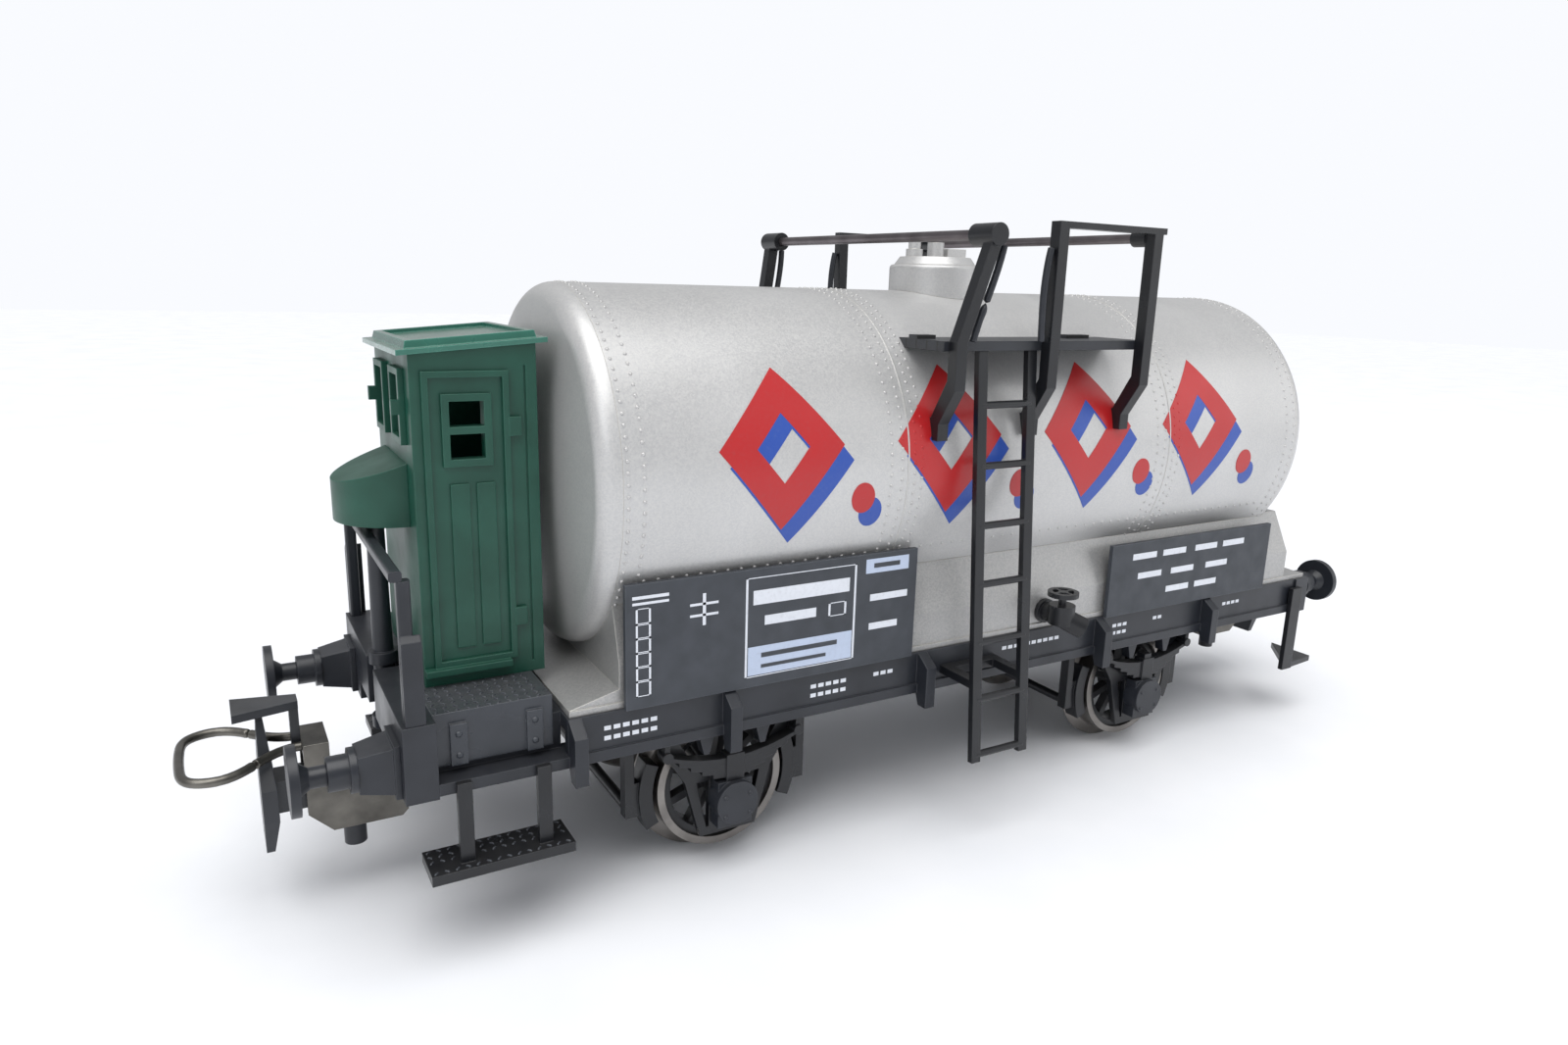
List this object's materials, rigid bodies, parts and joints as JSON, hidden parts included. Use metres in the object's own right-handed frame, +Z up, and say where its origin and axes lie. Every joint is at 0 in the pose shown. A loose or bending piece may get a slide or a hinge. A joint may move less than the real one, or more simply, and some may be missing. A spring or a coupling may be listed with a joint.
{
  "type": "model tank wagon",
  "caption": "Model railway tank wagon with a brakeman's cab, filling dome, walkways, ladders, spoked wheels, spring-look axle gear, buffers and loop couplers at both ends.",
  "frame": {"origin": "centre of the footprint at the level of the wheel flange tips", "axes": "+X along the wagon from the cab end to the tail end, +Y across it, +Z up; the side shown in the reference view faces -Y"},
  "size_m": [0.1198, 0.0352, 0.0503],
  "materials": {
    "frame_black": "satin, dust in the recesses",
    "deck_black": "satin, raised chequer pattern",
    "walkway_black": "satin, plank grain",
    "cab_green": "satin",
    "roof_green": "satin",
    "tank_silver": "silver pigment, soft sheen",
    "cradle_silver": "silver pigment, soft sheen",
    "board_grey": "matt with printed panels",
    "buffer_black": "satin",
    "rod_metal": "drawn wire",
    "axle_steel": "turned, blackened",
    "tyre_metal": "turned tread",
    "wheel_black": "satin",
    "coupler_black": "satin",
    "coupler_metal": "stamped, dull nickel",
    "trip_black": "satin"
  },
  "bodies": {
    "wagon": {"chassis_frame": "frame_black", "headstock_cab": "frame_black", "headstock_tail": "frame_black", "cab_step_near": "frame_black", "cab_step_far": "frame_black", "end_steps": "frame_black", "corner_posts": "frame_black", "end_rail": "frame_black", "brake_column": "frame_black", "ladder_near": "frame_black", "ladder_far": "frame_black", "posts_near": "frame_black", "posts_far": "frame_black", "grab_rails": "frame_black", "outlet_valves": "frame_black", "handwheels": "frame_black", "axleguards_cab": "frame_black", "axleguards_tail": "frame_black", "axleboxes_cab": "frame_black", "axleboxes_tail": "frame_black", "leaf_springs": "frame_black", "brake_gear": "frame_black", "brake_cylinder": "frame_black", "buffer_cases_cab": "frame_black", "buffer_cases_tail": "frame_black", "cab_platform": "deck_black", "walkways": "walkway_black", "cab_body": "cab_green", "cab_bay": "cab_green", "cab_doors": "cab_green", "end_window_frames": "cab_green", "cab_roof": "roof_green", "tank_barrel": "tank_silver", "tank_end_cab": "tank_silver", "tank_end_tail": "tank_silver", "tank_dome": "tank_silver", "dome_lid": "tank_silver", "dome_fittings": "tank_silver", "tank_cradle": "cradle_silver", "boards_near": "board_grey", "boards_far": "board_grey", "buffer_heads_cab": "buffer_black", "buffer_heads_tail": "buffer_black", "cross_rods": "rod_metal"},
    "wheelset_cab": {"axle_cab": "axle_steel", "wheel_centres_cab": "wheel_black", "tyres_cab": "tyre_metal"},
    "wheelset_tail": {"axle_tail": "axle_steel", "wheel_centres_tail": "wheel_black", "tyres_tail": "tyre_metal"},
    "shank_cab": {"coupler_hook_cab": "coupler_black", "coupler_pin_cab": "coupler_metal"},
    "shank_tail": {"coupler_hook_tail": "coupler_black", "coupler_pin_tail": "coupler_metal"},
    "lever_cab": {"coupler_lever_cab": "coupler_metal", "coupler_loop_cab": "coupler_metal", "coupler_trip_cab": "trip_black"},
    "lever_tail": {"coupler_lever_tail": "coupler_metal", "coupler_loop_tail": "coupler_metal", "coupler_trip_tail": "trip_black"}
  },
  "joints": [
    {"name": "wheelset_cab_spin", "type": "hinge", "parent": "wagon", "child": "wheelset_cab", "pos_m": [-0.023, 0, 0.0065], "axis": [0, 1, 0], "continuous": true},
    {"name": "coupler_cab_swing", "type": "hinge", "parent": "wagon", "child": "shank_cab", "pos_m": [-0.0424, 0, 0.0084], "axis": [0, 0, 1], "range_deg": [-10, 10]},
    {"name": "coupler_cab_lift", "type": "hinge", "parent": "shank_cab", "child": "lever_cab", "pos_m": [-0.0463, 0, 0.0079], "axis": [0, 1, 0], "range_deg": [0, 9]},
    {"name": "wheelset_tail_spin", "type": "hinge", "parent": "wagon", "child": "wheelset_tail", "pos_m": [0.023, 0, 0.0065], "axis": [0, 1, 0], "continuous": true},
    {"name": "coupler_tail_swing", "type": "hinge", "parent": "wagon", "child": "shank_tail", "pos_m": [0.0424, 0, 0.0084], "axis": [0, 0, 1], "range_deg": [-10, 10]},
    {"name": "coupler_tail_lift", "type": "hinge", "parent": "shank_tail", "child": "lever_tail", "pos_m": [0.0463, 0, 0.0079], "axis": [0, -1, 0], "range_deg": [0, 9]}
  ]
}
